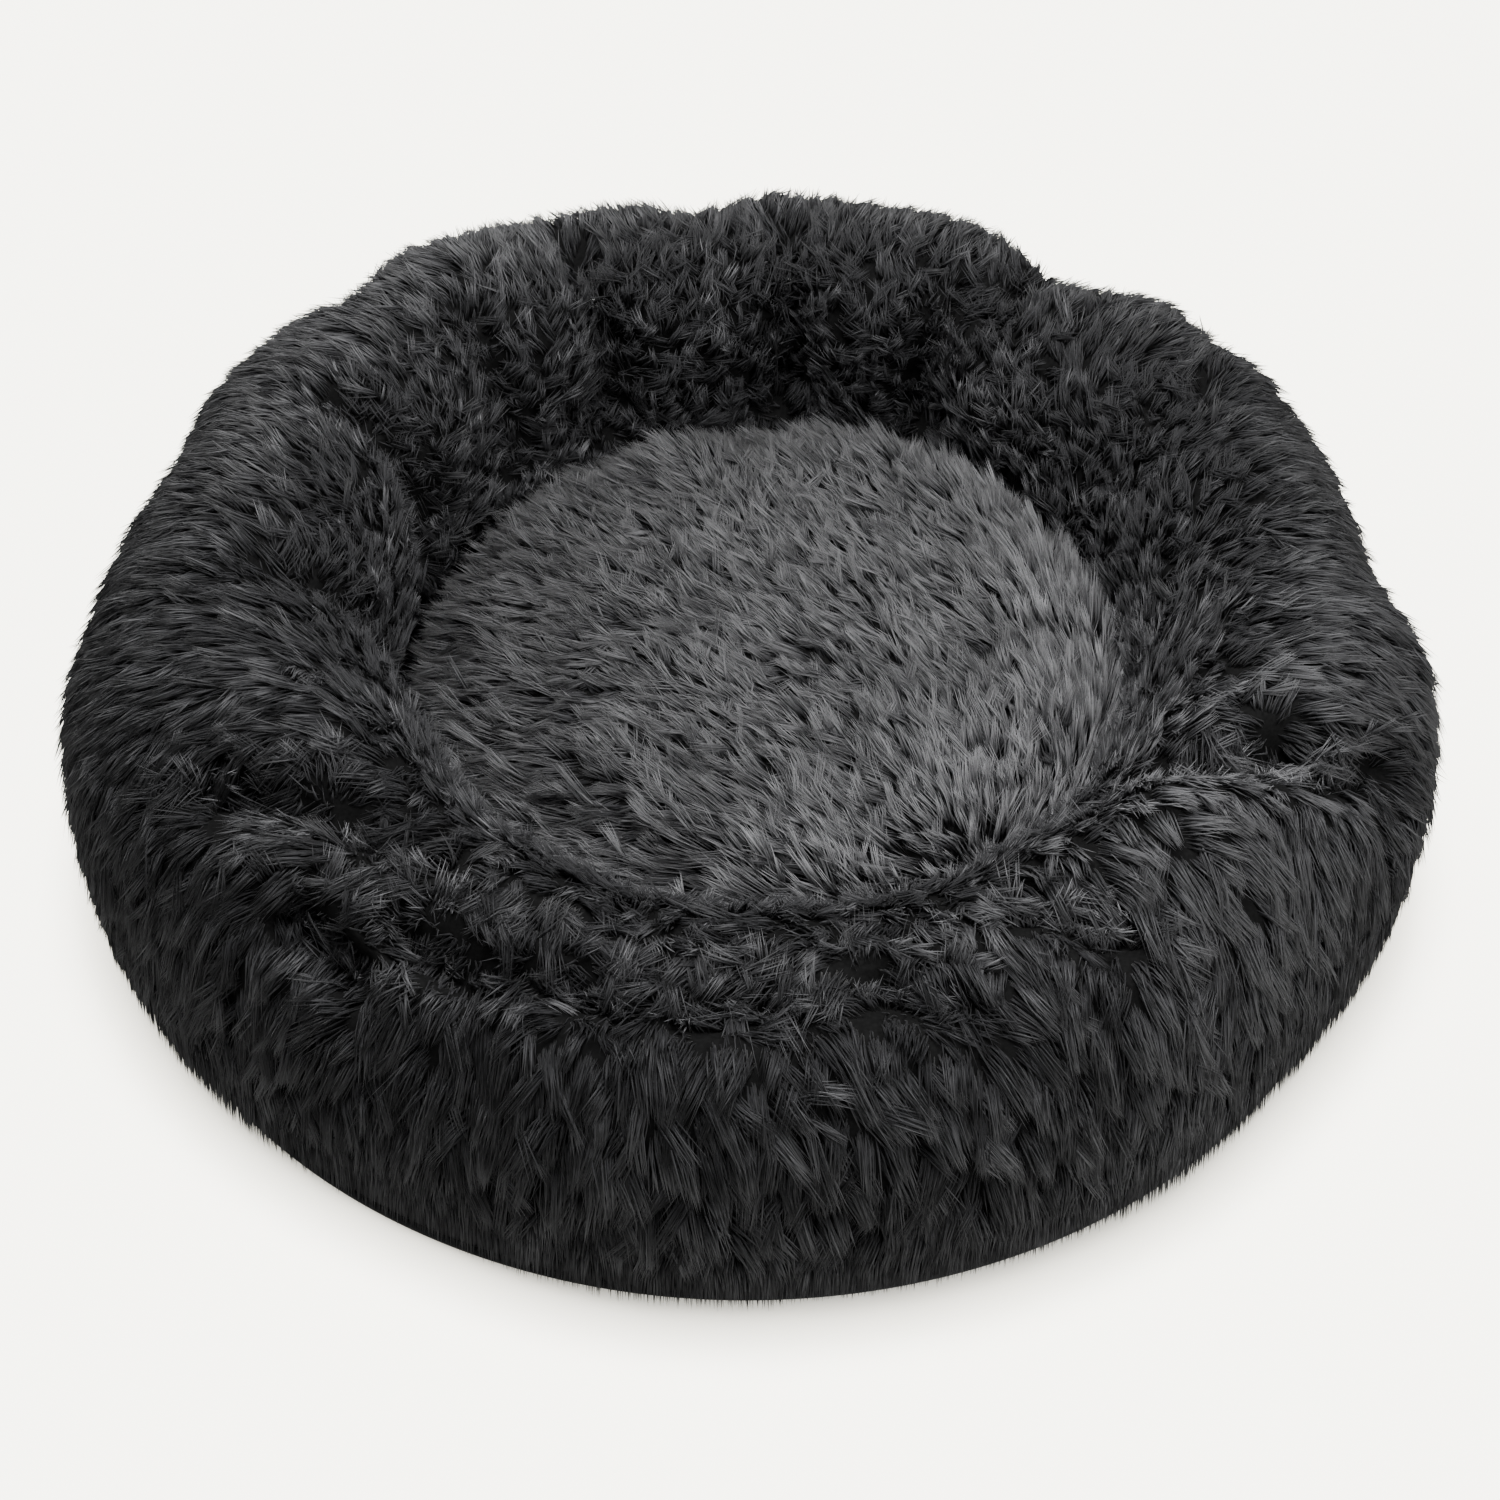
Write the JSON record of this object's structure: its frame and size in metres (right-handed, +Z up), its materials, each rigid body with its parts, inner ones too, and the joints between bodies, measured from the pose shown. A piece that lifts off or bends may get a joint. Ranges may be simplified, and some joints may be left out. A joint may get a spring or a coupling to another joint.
{
  "type": "pet cushion bed",
  "caption": "Round long-pile pet bed: a stuffed fur bolster rim, lower at the front, round a puffed centre cushion on a smooth cloth base, with a washable cover zipped at the back left.",
  "frame": {"origin": "on the floor under the middle of the bed", "axes": "+Z up; the low front of the rim, where the animal steps in, faces -Y; +X is to the right seen from the front"},
  "size_m": [0.784, 0.784, 0.213],
  "materials": {
    "rim_fur": "long-pile faux fur, charcoal, matt with a soft sheen at the tips",
    "center_fur": "long-pile faux fur, lighter grey tips",
    "base_cloth": "tight plain weave with a slip-resistant backing",
    "piping_cloth": "smooth bias binding over a cord",
    "liner_cloth": "thin unbleached non-woven",
    "fibre_filling": "loose siliconised fibre",
    "zip_tape_cloth": "herringbone zip tape",
    "zip_coil_plastic": "nylon coil",
    "zip_metal": "black satin enamel",
    "label_cloth": "satin ribbon, blank"
  },
  "bodies": {
    "bed": {"rim_panel_front": "rim_fur", "rim_panel_right": "rim_fur", "rim_panel_back": "rim_fur", "rim_panel_left": "rim_fur", "rim_liner": "liner_cloth", "rim_filling": "fibre_filling", "center_panel": "center_fur", "cushion_liner": "liner_cloth", "cushion_filling": "fibre_filling", "base_panel": "base_cloth", "base_piping": "piping_cloth", "zip_tape_lower": "zip_tape_cloth", "zip_tape_upper": "zip_tape_cloth", "zip_teeth_lower": "zip_coil_plastic", "zip_teeth_upper": "zip_coil_plastic", "zip_stop_open": "zip_metal", "zip_stop_closed": "zip_metal", "care_label": "label_cloth"},
    "slider": {"zip_slider": "zip_metal"},
    "pull": {"zip_pull": "zip_metal"}
  },
  "joints": [
    {"name": "zip_travel", "type": "hinge", "parent": "bed", "child": "slider", "pos_m": [0, 0, 0], "axis": [0, 0, 1], "range_deg": [-101, 0]},
    {"name": "pull_swing", "type": "hinge", "parent": "slider", "child": "pull", "pos_m": [-0.35493, 0.10851, 0.016], "axis": [0, 0, 1], "range_deg": [0, 170]}
  ]
}
